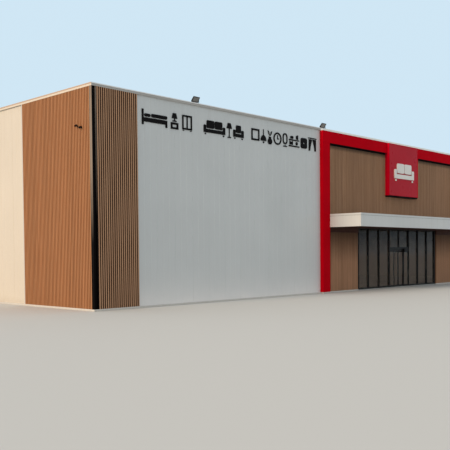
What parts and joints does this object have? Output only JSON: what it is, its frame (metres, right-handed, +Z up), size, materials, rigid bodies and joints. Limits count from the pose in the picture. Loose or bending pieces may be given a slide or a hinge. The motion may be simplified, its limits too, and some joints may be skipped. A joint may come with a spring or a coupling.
{
  "type": "furniture store building",
  "caption": "Flat-roofed retail hall with slatted wood corners, a red entrance portal, a canopy and automatic sliding glass doors.",
  "frame": {"origin": "middle of the hall's footprint, on the ground", "axes": "+X to the right along the front, +Y from the front to the back, +Z up"},
  "size_m": [39.2857, 29.175, 8.8466],
  "materials": {
    "concrete": "matte",
    "white_panel": "satin",
    "cream_panel": "satin",
    "roof_membrane": "matte",
    "pale_metal": "satin",
    "slat_wood": "matte",
    "black_trim": "gloss",
    "red_panel": "gloss",
    "sign_red": "gloss",
    "canopy_metal": "satin",
    "dark_soffit": "matte",
    "black_frame": "satin",
    "dark_glass": "clear",
    "black_plastic": "matte",
    "lamp_grey": "satin"
  },
  "bodies": {
    "building": {"floor_slab": "concrete", "entrance_threshold": "concrete", "front_wall_left": "white_panel", "front_wall_right": "white_panel", "front_wall_head": "white_panel", "left_side_wall": "cream_panel", "right_side_wall": "cream_panel", "back_wall": "cream_panel", "roof_deck": "roof_membrane", "coping_front": "pale_metal", "coping_back": "pale_metal", "coping_left": "pale_metal", "coping_right": "pale_metal", "plinths": "pale_metal", "screen_front_left": "slat_wood", "screen_front_right": "slat_wood", "screen_side_left": "slat_wood", "screen_side_right": "slat_wood", "entrance_screens": "slat_wood", "entrance_screen_upper": "slat_wood", "corner_posts": "black_trim", "screen_end_trims": "pale_metal", "portal_legs": "red_panel", "portal_headers": "red_panel", "portal_flashing": "pale_metal", "sign_box": "sign_red", "sign_face": "sign_red", "canopy_front_fascia": "canopy_metal", "canopy_end_fascias": "canopy_metal", "canopy_roof": "canopy_metal", "canopy_soffit": "dark_soffit", "glazing_frame_left": "black_frame", "glazing_frame_right": "black_frame", "overlight_frame": "black_frame", "glazing_panes": "dark_glass", "sidelight_frames": "black_frame", "door_operator": "black_frame", "door_sensor": "black_plastic", "floodlight_heads": "lamp_grey", "floodlight_brackets": "lamp_grey", "wall_cameras": "black_plastic"},
    "left_leaf": {"door_leaf_left": "black_frame", "door_pane_left": "dark_glass"},
    "right_leaf": {"door_leaf_right": "black_frame", "door_pane_right": "dark_glass"}
  },
  "joints": [
    {"name": "left_leaf_slide", "type": "slide", "parent": "building", "child": "left_leaf", "axis": [-1, 0, 0], "range_m": [0, 0.5]},
    {"name": "right_leaf_slide", "type": "slide", "parent": "building", "child": "right_leaf", "axis": [1, 0, 0], "range_m": [0, 0.5]}
  ],
  "couplings": [
    {"joint": "right_leaf_slide", "follows": "left_leaf_slide", "ratio": 1}
  ]
}
